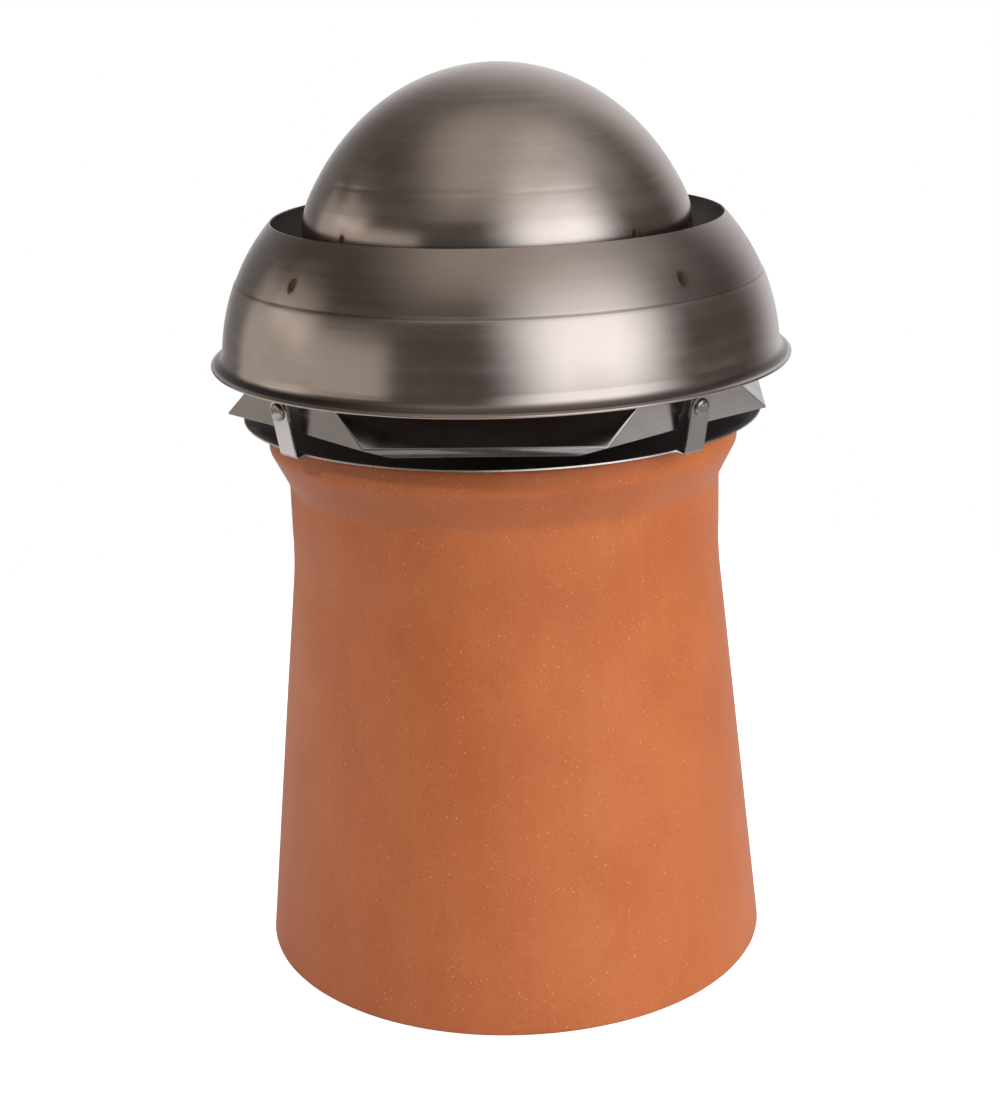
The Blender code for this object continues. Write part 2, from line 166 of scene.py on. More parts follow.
class PotSizes(PropertyGroup):
    """The terracotta pot"""
    height: length("Height", "From the foot to the mouth", POT_TOP.z)
    base_radius: length("Base radius", "Of the foot", POT_TOP.x)
    neck_radius: length("Neck radius", "Of the plain neck under the flare", 0.145)
    mouth_flare: length("Mouth flare", "How much wider the mouth is than the neck", 0.012)
    wall: length("Wall", "Thickness of the clay", 0.018)
    taper_height: length("Taper height", "Where the taper runs into the neck", 0.276)
    flare_height: length("Flare height", "Of the slope under the mouth's band", 0.024)
    rim_band: length("Rim band", "The upright band round the mouth", 0.018)
    neck_ease: length("Neck ease", "Radius of the soft bend from taper to neck", 0.25)
    flare_ease: length("Flare ease", "Radius of the bends of the flare", 0.02)
    edge_radius: length("Edge radius", "Rounding of the mouth's edge", 0.005)
    unevenness: length("Unevenness", "Of the wall as thrown and dried", 0.00035)
    spacing: length("Spacing", "Between the mesh's rows", 0.0035)


class DishSizes(PropertyGroup):
    """The base dish with its four straps"""
    overhang: length("Overhang", "Of the rim past the pot's mouth", 0.0156)
    depth: length("Depth", "From the underside to the rim", 0.0027)
    rim_run: length("Rim run", "How far out the rim slopes", 0.0066)
    ease: length("Ease", "Radius of the bend from floor to rim", 0.012)
    collar_radius: length("Collar radius", "Of the hole for the flue", 0.12)
    collar_depth: length("Collar depth", "Of the edge turned down into the pot", 0.02)
    collar_ease: length("Collar ease", "Radius of the collar's bend", 0.004)
    strap_width: length("Strap width", "Of each strap", 0.016)
    strap_standoff: length("Strap standoff", "Of the strap's fold past the rim", 0.0034)
    fold_drop: length("Fold drop", "Of the strap's fold below the rim", 0.0028)
    strap_top: length("Strap top", "Height of the strap above the rim", 0.035)
    strap_lean: angle("Strap lean", "Of the strap, outwards from upright", 11)
    fold_radius: length("Fold radius", "Of the strap's fold", 0.0022)
    web_width: length("Web width", "Of the rim drawn down on each side of a strap", 0.003)
    rivet_height: length("Rivet height", "Of the rivet above the rim", 0.0272)
    head_ease: length("Head ease", "Rounding of the rivet's edges", 0.0002)
    rivet_shank: length("Rivet shank", "Radius of the rivet's shank", 0.0025)
    rivet_head: length("Rivet head", "Radius of the rivet's head", 0.0056)
    head_height: length("Head height", "Of the rivet's head", 0.0026)
    rivet_tail: length("Rivet tail", "Radius of the rivet's tail", 0.0042)
    tail_height: length("Tail height", "Of the rivet's tail", 0.0016)


class LouvreSizes(PropertyGroup):
    """The folded louvre body"""
    lift: length("Lift", "Of the lower fold above the dish's rim", 0.0135)
    height: length("Height", "From the lower fold to the top", 0.0365)
    corner_inset: length("Corner inset", "Of a corner plate inside the dish's rim", 0.0006)
    setback: length("Setback", "Of a louvre's lower fold inside the corner plates", 0.001)
    slope: angle("Slope", "Of a louvre, from upright", 42.7)
    lip_drop: length("Lip drop", "Of the lip below the lower fold", 0.005)
    lip_half_width: length("Lip half width", "At its lower edge", 0.056)
    slot_half_width: length("Slot half width", "Of a corner plate's slot", 0.0095)
    slot_height: length("Slot height", "To the top of the slot's arch", 0.0165)


class LegSizes(PropertyGroup):
    """The four legs"""
    thickness: length("Thickness", "Of the strip", 0.0015)
    width: length("Width", "Of the strip", 0.016)
    past_rivet: length("Past rivet", "Straight run on each side of the rivet", 0.0065)
    bend: length("Bend", "Radius of a bend", 0.003)
    above_lip: length("Above lip", "Where it meets the ring's wall", 0.02)
    below_mouth: length("Below mouth", "Where it leaves the ring's wall", 0.014)
    hook_drop: length("Hook drop", "Of its hook below the dome's edge", 0.008)
    in_dome: length("In dome", "How far it runs up inside the dome", 0.042)


class RingSizes(PropertyGroup):
    """The wind ring"""
    bottom: length("Bottom", "Height of the lip's edge", RING_LOW.z)
    height: length("Height", "From the lip's edge to the mouth", RING_HIGH.z - RING_LOW.z)
    lip: length("Lip", "Of the flared lip past the wall", 0.0077)
    lip_rise: length("Lip rise", "Of the lip's inner end above its edge", 0.0032)
    lip_ease: length("Lip ease", "Radius of the bend from lip to wall", 0.01)
    curve_width: length("Curve width", "Half width of the wall's elliptical curve", 0.12)
    curve_height: length("Curve height", "Half height of the wall's elliptical curve", 0.13)
    curve_drop: length("Curve drop", "Of the curve's widest place below the lip", 0.0018)
    bead: length("Bead", "Radius of the rolled edge of the lip", 0.0009)
    step_height: length("Step height", "Of the spun step above the lip's edge", 0.0525)
    step_depth: length("Step depth", "How far the wall steps in", 0.0005)
    step_width: length("Step width", "Height of the step", 0.0016)
    groove_depth: length("Groove depth", "Of the fine line turned under the step", 0.0001)
    groove_width: length("Groove width", "Of the fine line turned under the step", 0.001)
    wave: length("Wave", "Unevenness of the spun wall", 0.00018)
    weld_height: length("Weld height", "Of the weld marks above the lip's edge", 0.0655)


class DomeSizes(PropertyGroup):
    """The dome"""
    curve_spread: length("Curve spread", "Of the crown's curve past the skirt", 0.0118)
    curve_height: length("Curve height", "Half height of the crown's curve", 0.1588)
    shoulder: length("Shoulder", "Where the crown's curve ends inside the skirt", 0.0045)
    skirt_height: length("Skirt height", "Of the upright skirt", 0.027)
    groove_height: length("Groove height", "Of the fine turned line above the edge", 0.0637)
    groove_depth: length("Groove depth", "Of the fine turned line", 0.00012)
    groove_width: length("Groove width", "Of the fine turned line", 0.0012)
    wave: length("Wave", "Unevenness of the spun wall", 0.00015)
    weld_height: length("Weld height", "Of the weld marks above the edge", 0.0335)


class WeldSizes(PropertyGroup):
    """The marks that the spot welds leave on the outside"""
    half_width: length("Half width", "Of a mark on the ring", 0.0039)
    half_height: length("Half height", "Of a mark on the ring", 0.0047)
    dome_share: share("Dome share", "Size of a dome mark against a ring mark", 0.75)
    depth: length("Depth", "Of the dimple in a mark", 0.00035)


class FinishColours(PropertyGroup):
    """Colours of the finishes"""
    clay: colour("Clay", "The fired clay", (0.505, 0.140, 0.040))
    clay_dark: colour("Dark clay", "The darker drifts in the clay", (0.435, 0.106, 0.026))
    clay_fleck: colour("Pale fleck", "The pale grog in the clay", (0.86, 0.55, 0.30))
    clay_spot: colour("Dark spot", "The iron spots in the clay", (0.07, 0.03, 0.02))
    steel: colour("Spun steel", "The ring and the dome", (0.545, 0.465, 0.42))
    steel_dark: colour("Dark steel", "The darker drifts on the spun steel", (0.45, 0.375, 0.33))
    # Painted shade, laid at the root of the ring's lip and along the spun steel's step line.
    lip: colour("Lip", "The dull root of the ring's lip", (0.07, 0.055, 0.05))
    inside: colour("Inside", "The dull inside of the ring and the dome", (0.21, 0.165, 0.145))
    folded: colour("Folded steel", "The dish, the louvre body and the legs", (0.46, 0.42, 0.40))
    cut_edge: colour("Cut edge", "The sheet's cut edges", (0.72, 0.65, 0.60))
    rivet: colour("Rivet steel", "The rivets", (0.46, 0.42, 0.39))
    heat_tint: colour("Heat tint", "The tint of a weld mark", (0.105, 0.068, 0.047))
    weld_halo: colour("Weld halo", "The faint stain round a weld mark", (0.30, 0.22, 0.17))
    floor: colour("Floor", "The plain floor", (0.6, 0.6, 0.6))


class StageSizes(PropertyGroup):
    """The camera and the light"""
    camera_left: length("Camera left", "Of the camera to the left of the axis", 0.0043)
    camera_away: length("Camera away", "Of the camera from the axis", 1.3203)
    camera_height: length("Camera height", "Above the floor", 0.6871)
    camera_down: angle("Camera down", "How far the camera looks down", 17.32)
    camera_roll: angle("Camera roll", "Clockwise turn of the camera", 1.64)
    lens: FloatProperty(name="Lens", description="Focal length in millimetres", default=65.78, min=1)
    floor_radius: length("Floor radius", "Of the plain round floor", 1.0)
    floor_glow: FloatProperty(name="Floor glow", description="Whiteness that the camera sees on top",
                              default=0.9, min=0)
    floor_left_glow: share("Floor left", "Glow of the floor's left edge, which the left strap mirrors", 0.72)
    # Painted shade: the floor's right edge is darkened to this share of its colour.
    floor_right_shade: share("Floor right", "Share of the floor's colour at its right edge", 0.6)
    room: FloatProperty(name="Room", description="Brightness of the room around", default=0.1, min=0)
    below: share("Below", "Share of the room's light that comes from below the horizon", 0.35)
    diffuse_share: share("Diffuse share", "Of the room's light that falls on matt things", 0.5)
    backdrop: FloatProperty(name="Backdrop", description="Brightness of the backdrop", default=1.0, min=0)


class CowlSettings(PropertyGroup):
    """Every group of sizes and colours"""
    general: PointerProperty(type=GeneralSizes)
    pot: PointerProperty(type=PotSizes)
    dish: PointerProperty(type=DishSizes)
    louvre: PointerProperty(type=LouvreSizes)
    leg: PointerProperty(type=LegSizes)
    ring: PointerProperty(type=RingSizes)
    dome: PointerProperty(type=DomeSizes)
    weld: PointerProperty(type=WeldSizes)
    finish: PointerProperty(type=FinishColours)
    stage: PointerProperty(type=StageSizes)


def settings():
    return bpy.context.scene.cowl


# Lines: lists of (radius, height)

def filleted(corners, steps):
    """The line through the corners, with each corner rounded by its third value, a radius."""
    points = []
    for i, (r, z, radius) in enumerate(corners):
        here = Vector((r, z))
        if radius <= 0 or i in (0, len(corners) - 1):
            points.append(here)
            continue
        back = (Vector(corners[i - 1][:2]) - here).normalized()
        ahead = (Vector(corners[i + 1][:2]) - here).normalized()
        half = back.angle(ahead) / 2
        tangent = radius / math.tan(half)
        centre = here + (back + ahead).normalized() * radius / math.sin(half)
        start = here + back * tangent - centre
        end = here + ahead * tangent - centre
        sweep = start.angle_signed(end)
        for k in range(steps + 1):
            spoke = start.copy()
            spoke.rotate(Matrix.Rotation(-sweep * k / steps, 2))
            points.append(centre + spoke)
    return [(p.x, p.y) for p in points]


def offset(points, distance):
    """The line moved to its left by a distance, mitred at its corners."""
    line = [Vector(p) for p in points]
    sides = []
    for a, b in zip(line, line[1:]):
        run = (b - a).normalized()
        sides.append(Vector((-run.y, run.x)))
    moved = []
    for i, p in enumerate(line):
        before = sides[max(i - 1, 0)]
        after = sides[min(i, len(sides) - 1)]
        mitre = (before + after).normalized()
        moved.append(p + mitre * distance / mitre.dot(after))
    return [(p.x, p.y) for p in moved]


def arc(centre, width, height, start, end, steps):
    """Part of an ellipse, by its two half axes."""
    points = []
    for k in range(steps + 1):
        t = start + (end - start) * k / steps
        points.append((centre[0] + width * math.cos(t), centre[1] + height * math.sin(t)))
    return points


def eased(start, corner, end, steps):
    """A curve from start to end that leaves and arrives towards the corner."""
    points = []
    for k in range(1, steps):
        t = k / steps
        a, b, c = (1 - t) ** 2, 2 * t * (1 - t), t * t
        points.append((a * start[0] + b * corner[0] + c * end[0],
                       a * start[1] + b * corner[1] + c * end[1]))
    return points


def divided(points, spacing):
    """The line with points added so that none are further apart than the spacing."""
    made = []
    for a, b in zip(points, points[1:]):
        parts = max(1, math.ceil(math.dist(a, b) / spacing))
        for k in range(parts):
            made.append((a[0] + (b[0] - a[0]) * k / parts, a[1] + (b[1] - a[1]) * k / parts))
    return made + [points[-1]]


def smooth(value, low, high):
    """0 below low, 1 above high, and an eased rise between them."""
    t = min(max((value - low) / (high - low), 0), 1)
    return t * t * (3 - 2 * t)


def radius_at(path, height):
    """The radius where a path that starts at its foot first reaches a height."""
    for (r0, z0), (r1, z1) in zip(path, path[1:]):
        if z0 <= height <= z1:
            return r0 + (r1 - r0) * (height - z0) / (z1 - z0)
    return path[-1][0]


# Places

def rim_radius():
    s = settings()
    return s.pot.neck_radius + s.pot.mouth_flare + s.dish.overhang


def rim_height():
    s = settings()
    return s.pot.height + s.general.gap + s.dish.depth


def corner_angle(index):
    return FIRST_CORNER + index * QUARTER


def corner_turn(index):
    """The turn that brings what is modelled at +X to a corner of the cowl."""
    return Matrix.Rotation(corner_angle(index), 4, "Z")


# Meshes

def add_piece(name, shape, finishes, slot, *nodes):
    """Makes a mesh object, gives it its finishes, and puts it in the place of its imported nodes."""
    mesh = bpy.data.meshes.new(name)
    shape.to_mesh(mesh)
    shape.free()
    mesh.shade_smooth()
    piece = bpy.data.objects.new(name, mesh)
    for finish in finishes:
        mesh.materials.append(finish)
    bpy.context.scene.collection.objects.link(piece)
    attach(piece, "root")
    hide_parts(*nodes)
    return piece


def keep_sharp(piece, degrees):
    """Shades as sharp the edges that turn by more than an angle."""
    piece.data.set_sharp_from_angle(angle=math.radians(degrees))


def turned(profile, turns, closed=True):
    """A profile turned round the Z axis through a list of angles. An open one ends on the axis."""
    shape = bmesh.new()
    columns = []
    for turn in turns:
        c, s = math.cos(turn), math.sin(turn)
        columns.append([shape.verts.new((r * c, r * s, z)) for r, z in profile])
    last = len(profile) if closed else len(profile) - 1
    for a, b in zip(columns, columns[1:] + columns[:1]):
        for k in range(last):
            ahead = (k + 1) % len(profile)
            shape.faces.new((a[k], b[k], b[ahead], a[ahead]))
    bmesh.ops.remove_doubles(shape, verts=shape.verts, dist=1e-7)
    bmesh.ops.recalc_face_normals(shape, faces=shape.faces)
    return shape


def even_turns(count):
    return [2 * math.pi * k / count for k in range(count)]


def spread(first, last, parts):
    """Even values from the first to the last."""
    return [first + (last - first) * k / parts for k in range(parts + 1)]


def mixed_points(first, second, amount):
    """The points between two lists of points, at a share of the way."""
    return [a.lerp(b, amount) for a, b in zip(first, second)]


def add_grid(shape, rows):
    """Faces between rows of points."""
    made = [[shape.verts.new(point) for point in row] for row in rows]
    for low, high in zip(made, made[1:]):
        for k in range(len(low) - 1):
            shape.faces.new((low[k], low[k + 1], high[k + 1], high[k]))


def turns_with_welds(count, half, parts):
    """Even angles, with finer ones inside a half angle of each corner."""
    fine = []
    for index in range(CORNERS):
        for k in range(-parts, parts + 1):
            fine.append((corner_angle(index) + half * k / parts) % (2 * math.pi))

    def near_corner(turn):
        away = (turn - FIRST_CORNER) % QUARTER
        return min(away, QUARTER - away) < half * 1.01

    return sorted([turn for turn in even_turns(count) if not near_corner(turn)] + fine)


def move_outwards(shape, amount):
    """Moves each point away from the axis by its own amount."""
    for v in shape.verts:
        v.co += outward(v.co) * amount(v.co)


def mark_inside(shape, middle):
    """Gives the faces that look towards the middle the second finish."""
    shape.normal_update()
    for face in shape.faces:
        if face.normal.dot(face.calc_center_median() - middle) < 0:
            face.material_index = 1


def outward(co):
    flat = Vector((co.x, co.y, 0))
    return flat.normalized() if flat.length > 1e-6 else Vector((0, 0, 0))


def ripple(co, across, along):
    """A soft unevenness from -1 to 1, with so many waves to a metre across and upwards."""
    return noise.noise(Vector((co.x * across, co.y * across, co.z * along)))


def turned_line(co, height, depth, width):
    """The depth of a fine line turned round a piece at a height."""
    return -depth * math.exp(-((co.z - height) / width) ** 2)


def weld_dent(co, height, half_width, half_height, depth):
    """The depth of the dimple, with its raised edge, that a spot weld leaves near a corner."""
    if abs(co.z - height) > 3 * half_height:
        return 0
    turn = (math.atan2(co.y, co.x) - FIRST_CORNER + QUARTER / 2) % QUARTER - QUARTER / 2
    across = turn * math.hypot(co.x, co.y) / half_width
    along = (co.z - height) / half_height
    away = math.hypot(across, along)
    dimple = 1 - smooth(away, 0.2, 0.95)
    edge = math.exp(-((away - 1.0) / 0.22) ** 2)
    grain = noise.noise(co * 900) * (1 - smooth(away, 0.6, 1.1))
    return depth * (0.12 * edge - dimple + 0.25 * grain)


# Nodes of the finishes and of the room

class Nodes:
    """Short calls to add and link the nodes of a tree."""

    def __init__(self, tree):
        self.tree = tree

    def add(self, kind, choices=None, **inputs):
        node = self.tree.nodes.new(kind)
        for key, value in (choices or {}).items():
            setattr(node, key, value)
        for key, value in inputs.items():
            self.put(node.inputs[key.replace("_", " ")], value)
        return node

    def put(self, socket, value):
        if isinstance(value, bpy.types.NodeSocket):
            self.tree.links.new(value, socket)
        elif socket.type == "RGBA":
            socket.default_value = (*tuple(value)[:3], 1)
        else:
            socket.default_value = value

    def math(self, operation, *values):
        node = self.add("ShaderNodeMath", {"operation": operation})
        for socket, value in zip(node.inputs, values):
            self.put(socket, value)
        return node.outputs[0]

    def total(self, first, *others):
        """The sum of several values."""
        for value in others:
            first = self.math("ADD", first, value)
        return first

    def weighted(self, *parts):
        """The sum of several values, each times its weight."""
        return self.total(*[self.math("MULTIPLY", value, weight) for value, weight in parts])

    def vectors(self, operation, *values, output="Vector"):
        node = self.add("ShaderNodeVectorMath", {"operation": operation})
        for socket, value in zip(node.inputs, values):
            self.put(socket, value)
        return node.outputs[output]

    def vector(self, x, y, z):
        return self.add("ShaderNodeCombineXYZ", X=x, Y=y, Z=z).outputs[0]

    def noise(self, place, scale, detail=3, roughness=0.5):
        return self.add("ShaderNodeTexNoise", Vector=place, Scale=scale, Detail=detail,
                        Roughness=roughness).outputs["Fac"]

    def ranged(self, value, low, high, to_low=0.0, to_high=1.0):
        """One value below low, another above high, and an eased change between them."""
        node = self.add("ShaderNodeMapRange", {"interpolation_type": "SMOOTHSTEP"})
        for socket, number in zip(node.inputs, (value, low, high, to_low, to_high)):
            self.put(socket, number)
        return node.outputs[0]

    def mixed(self, factor, first, second):
        node = self.add("ShaderNodeMix", {"data_type": "RGBA"})
        self.put(node.inputs["Factor"], factor)
        colours = [socket for socket in node.inputs if socket.type == "RGBA"]
        self.put(colours[0], first)
        self.put(colours[1], second)
        return [socket for socket in node.outputs if socket.type == "RGBA"][0]


class Finish(Nodes):
    """A material with a Principled BSDF."""

    def __init__(self, name, roughness, metallic):
        self.material = bpy.data.materials.new(name)
        self.material.use_nodes = True
        super().__init__(self.material.node_tree)
        self.shader = self.tree.nodes["Principled BSDF"]
        self.shader.inputs["Roughness"].default_value = roughness
        self.shader.inputs["Metallic"].default_value = metallic
        self.place = self.add("ShaderNodeTexCoord").outputs["Object"]
        parts = self.add("ShaderNodeSeparateXYZ", Vector=self.place).outputs
        self.x, self.y, self.z = parts["X"], parts["Y"], parts["Z"]
        self.radius = self.reach(self.x, self.y)

    def reach(self, x, y):
        """How far a place is from the middle, by its two coordinates."""
        return self.math("SQRT", self.math("ADD", self.math("POWER", x, 2), self.math("POWER", y, 2)))

    def scaled(self, x, y, z):
        """The place on the object, stretched along each axis."""
        return self.vectors("MULTIPLY", self.place, (x, y, z))

    def colour(self, value):
        self.put(self.shader.inputs["Base Color"], value)

    def rough(self, value):
        self.put(self.shader.inputs["Roughness"], value)

    def bump(self, height, distance):
        """Adds a relief in metres over what was there before."""
        normal = self.shader.inputs["Normal"]
        node = self.add("ShaderNodeBump", Height=height, Distance=distance, Strength=1.0)
        if normal.links:
            self.put(node.inputs["Normal"], normal.links[0].from_socket)
        self.put(normal, node.outputs[0])


def darker(colour_value, amount):
    return tuple(part * amount for part in colour_value)


def from_weld(finish, height, half_width, half_height):
    """How far a place is from the middle of its corner's weld mark, with the mark's uneven edge at 1."""
    turn = finish.math("ARCTAN2", finish.y, finish.x)
    wrapped = finish.math("WRAP", finish.math("SUBTRACT", turn, FIRST_CORNER), QUARTER / 2, -QUARTER / 2)
    across = finish.math("DIVIDE", finish.math("MULTIPLY", wrapped, finish.radius), half_width)
    along = finish.math("DIVIDE", finish.math("SUBTRACT", finish.z, height), half_height)
    wobble = finish.noise(finish.place, 420, 2)
    uneven = finish.math("MULTIPLY", finish.math("SUBTRACT", wobble, 0.5), 0.7)
    return finish.math("ADD", finish.reach(across, along), uneven)


def spun_steel(name, weld_height, half_width, half_height, step_height, lip_height):
    """Sheet spun on a former: fine turning rings, soft drifts of tone, tinted welds, and painted shade above
    its step, along its step and at its lip's root.
    """
    s = settings()
    finish = Finish(name, 0.3, 1)
    rings = finish.vector(finish.radius, finish.z, 0)
    fine = finish.noise(rings, 2400, 2, 0.7)
    broad = finish.noise(rings, 160, 3, 0.6)
    drift = finish.noise(finish.scaled(1, 1, 1.6), 9, 4, 0.55)
    cloud = finish.noise(finish.scaled(1, 1, 1.5), 34, 4, 0.6)
    tone = finish.weighted((drift, 0.6), (cloud, 0.2), (broad, 0.2))
    base = finish.mixed(finish.ranged(tone, 0.36, 0.66), s.finish.steel_dark, s.finish.steel)
    # Painted shade: the wall above the step is darkened, which dims its reflections.
    dull = finish.ranged(finish.z, step_height, step_height + UPPER_SHADE_FADE, 0.0, 0.65)
    base = finish.mixed(dull, base, darker(s.finish.steel_dark, 0.75))
    # Painted shade: a thin dark line along the step.
    from_shade_line = finish.math("ABSOLUTE", finish.math("SUBTRACT", finish.z, step_height + STEP_SHADE_LINE))
    line = finish.ranged(from_shade_line, *STEP_SHADE_LINE_WIDTHS, 0.45, 0.0)
    base = finish.mixed(line, base, s.finish.lip)
    # Painted shade at the root of the ring's lip, under its flare.
    above_lip = finish.math("SUBTRACT", finish.z, lip_height)
    lip = finish.math("MULTIPLY", finish.ranged(above_lip, *LIP_SHADE_IN),
                      finish.ranged(above_lip, *LIP_SHADE_OUT, 0.85, 0.0))
    base = finish.mixed(lip, base, s.finish.lip)
    away = from_weld(finish, weld_height, half_width, half_height)
    specks = finish.ranged(finish.noise(finish.place, 900, 1), 0.62, 0.74)
    mark = finish.ranged(away, 0.7, 1.3, 0.95, 0.0)
    halo = finish.ranged(away, 0.9, 2.6, 0.35, 0.0)
    tint = finish.mixed(finish.math("MULTIPLY", specks, 0.35), s.finish.heat_tint, s.finish.steel)
    base = finish.mixed(halo, base, s.finish.weld_halo)
    finish.colour(finish.mixed(mark, base, tint))
    finish.rough(finish.total(finish.ranged(broad, 0.3, 0.7, 0.2, 0.25),
                              finish.ranged(cloud, 0.3, 0.7, -0.02, 0.03),
                              finish.math("MULTIPLY", mark, 0.25)))
    finish.bump(fine, 0.000004)
    finish.bump(broad, 0.000018)
    finish.shader.inputs["Anisotropic"].default_value = 0.5
    finish.shader.inputs["Anisotropic Rotation"].default_value = 0.25
    tangent = finish.add("ShaderNodeTangent", {"direction_type": "RADIAL", "axis": "Z"})
    finish.put(finish.shader.inputs["Tangent"], tangent.outputs[0])
    return finish.material


def inner_steel(name):
    """The unpolished inside of a spun piece, dull and brownish."""
    inside = settings().finish.inside
    finish = Finish(name, 0.42, 1)
    cloud = finish.noise(finish.place, 40, 4, 0.6)
    finish.colour(finish.mixed(finish.ranged(cloud, 0.3, 0.7), darker(inside, 0.7), inside))
    finish.rough(finish.ranged(cloud, 0.3, 0.7, 0.36, 0.48))
    finish.bump(finish.noise(finish.vector(finish.radius, finish.z, 0), 900, 3, 0.6), 0.00002)
    return finish.material


def folded_steel(name):
    """Plain rolled sheet with fine level brushing and the clouds of handling."""
    folded = settings().finish.folded
    finish = Finish(name, 0.3, 1)
    brushing = finish.noise(finish.scaled(14, 14, 900), 1, 3, 0.6)
    cloud = finish.noise(finish.place, 45, 4, 0.6)
    shade = finish.ranged(finish.weighted((cloud, 0.7), (brushing, 0.3)), 0.3, 0.7, 0.78, 1.0)
    finish.colour(finish.mixed(shade, darker(folded, 0.55), folded))
    finish.rough(finish.ranged(cloud, 0.3, 0.7, 0.17, 0.26))
    finish.bump(brushing, 0.000012)
    finish.bump(cloud, 0.00003)
    return finish.material


def cut_edge(name):
    """The bare edge that shearing leaves."""
    edge = settings().finish.cut_edge
    finish = Finish(name, 0.38, 1)
    grain = finish.noise(finish.place, 900, 2)
    finish.colour(finish.mixed(finish.ranged(grain, 0.3, 0.7), darker(edge, 0.75), edge))
    finish.bump(grain, 0.00003)
    return finish.material


def rivet_steel(name):
    """The grainy steel of a set rivet."""
    rivet = settings().finish.rivet
    finish = Finish(name, 0.26, 1)
    grain = finish.noise(finish.place, 600, 3)
    finish.colour(finish.mixed(finish.ranged(grain, 0.3, 0.7), darker(rivet, 0.6), rivet))
    finish.bump(grain, 0.00002)
    return finish.material


def fired_clay(name):
    """Terracotta with soft drifts, faint drag streaks, pale and dark grains, and a slightly open surface."""
    s = settings()
    finish = Finish(name, 0.55, 0)
    drift = finish.noise(finish.scaled(1, 1, 0.8), 16, 5, 0.6)
    streak = finish.noise(finish.scaled(150, 150, 5), 1, 4, 0.6)
    fine = finish.noise(finish.place, 650, 4, 0.65)
    tone = finish.weighted((drift, 0.42), (streak, 0.1), (fine, 0.48))
    base = finish.mixed(finish.ranged(tone, 0.38, 0.62), s.finish.clay_dark, s.finish.clay)
    for scale, size, without, dark in CLAY_GRAINS:
        cells = finish.add("ShaderNodeTexVoronoi", Vector=finish.place, Scale=scale, Randomness=1.0)
        pick = finish.add("ShaderNodeSeparateColor", Color=cells.outputs["Color"]).outputs[0]
        near = finish.ranged(cells.outputs["Distance"], size * 0.6, size, 1.0, 0.0)
        grain = finish.math("MULTIPLY", near, finish.math("GREATER_THAN", pick, without))
        grain_colour = s.finish.clay_spot if dark else s.finish.clay_fleck
        base = finish.mixed(finish.math("MULTIPLY", grain, 0.8), base, grain_colour)
    finish.colour(base)
    finish.rough(finish.ranged(fine, 0.3, 0.7, 0.46, 0.62))
    finish.shader.inputs["Specular IOR Level"].default_value = 0.55
    finish.shader.inputs["Sheen Weight"].default_value = 0.14
    finish.shader.inputs["Sheen Roughness"].default_value = 0.4
    finish.bump(fine, 0.00007)
    finish.bump(streak, 0.00002)
    return finish.material


# Profiles of the pieces

def pot_profile():
    """The pot's wall, anticlockwise from its outer foot: out, up, over the mouth and down the bore."""
    p = settings().pot
    steps = settings().general.bend_steps
    mouth = p.neck_radius + p.mouth_flare
    flare_top = p.height - p.rim_band
    flare_foot = flare_top - p.flare_height
    outside = [(p.base_radius - p.wall / 2, 0, 0),
               (p.base_radius, 0, p.edge_radius / 2),
               (p.neck_radius, p.taper_height, p.neck_ease),
               (p.neck_radius, flare_foot, p.flare_ease),
               (mouth, flare_top, p.flare_ease / 2),
               (mouth, p.height, p.edge_radius),
               (mouth - p.wall, p.height, p.edge_radius / 2),
               (mouth - p.wall, flare_top, p.flare_ease),
               (p.neck_radius - p.wall, flare_foot, p.flare_ease / 2),
               (p.neck_radius - p.wall, p.taper_height, p.neck_ease),
               (p.base_radius - p.wall, 0, p.edge_radius / 2),
               (p.base_radius - p.wall / 2, 0, 0)]
    return divided(filleted(outside, steps), p.spacing)[:-1]


def ring_line():
    """The ring's outer face, from its lip's edge up to its mouth."""
    r = settings().ring
    wall_radius = RING_HIGH.x - r.lip
    centre = (wall_radius - r.curve_width, r.bottom - r.curve_drop)
    top = r.bottom + r.height
    lip = filleted([(RING_HIGH.x, r.bottom, 0), (wall_radius, r.bottom + r.lip_rise, r.lip_ease),
                    (wall_radius, top, 0)], settings().general.bend_steps)[:-1]
    first = math.asin((lip[-1][1] - centre[1]) / r.curve_height)
    last = math.asin((top - centre[1]) / r.curve_height)
    return lip[:-1] + arc(centre, r.curve_width, r.curve_height, first, last, 64)


def dome_line():
    """The dome's outer face, from its edge up the skirt and over the crown to the middle."""
    d = settings().dome
    radius = DOME_HIGH.x
    centre = (0, DOME_HIGH.z - d.curve_height)
    width = radius + d.curve_spread
    first = math.acos((radius - d.shoulder) / width)
    crown = arc(centre, width, d.curve_height, first, math.pi / 2, 72)
    crown[-1] = (0, DOME_HIGH.z)
    skirt_top = (radius, DOME_LOW.z + d.skirt_height)
    corner = (radius, (skirt_top[1] + crown[0][1]) / 2)
    return [(radius, DOME_LOW.z), skirt_top] + eased(skirt_top, corner, crown[0], 12) + crown


def dish_line():
    """The middle of the dish's sheet, from the collar's lower edge out to the rim."""
    s = settings()
    d = s.dish
    floor = s.pot.height + s.general.gap + s.general.sheet / 2
    return filleted([(d.collar_radius, floor - d.collar_depth, 0),
                     (d.collar_radius, floor, d.collar_ease),
                     (rim_radius() - d.rim_run, floor, d.ease),
                     (rim_radius(), rim_height(), 0)], s.general.bend_steps)


def strap_path():
    """The middle of a strap's sheet as (radius, height): its fold, and its straight part's end."""
    d = settings().dish
    fold = Vector((rim_radius() + d.strap_standoff, rim_height() - d.fold_drop))
    rise = rim_height() + d.strap_top - fold.y - d.strap_width / 2
    return fold, fold + Vector((math.tan(d.strap_lean), 1)) * rise


def strap_at(height):
    """The middle of the strap's sheet at a height."""
    fold, top = strap_path()
    return tuple(fold.lerp(top, (height - fold.y) / (top.y - fold.y)))


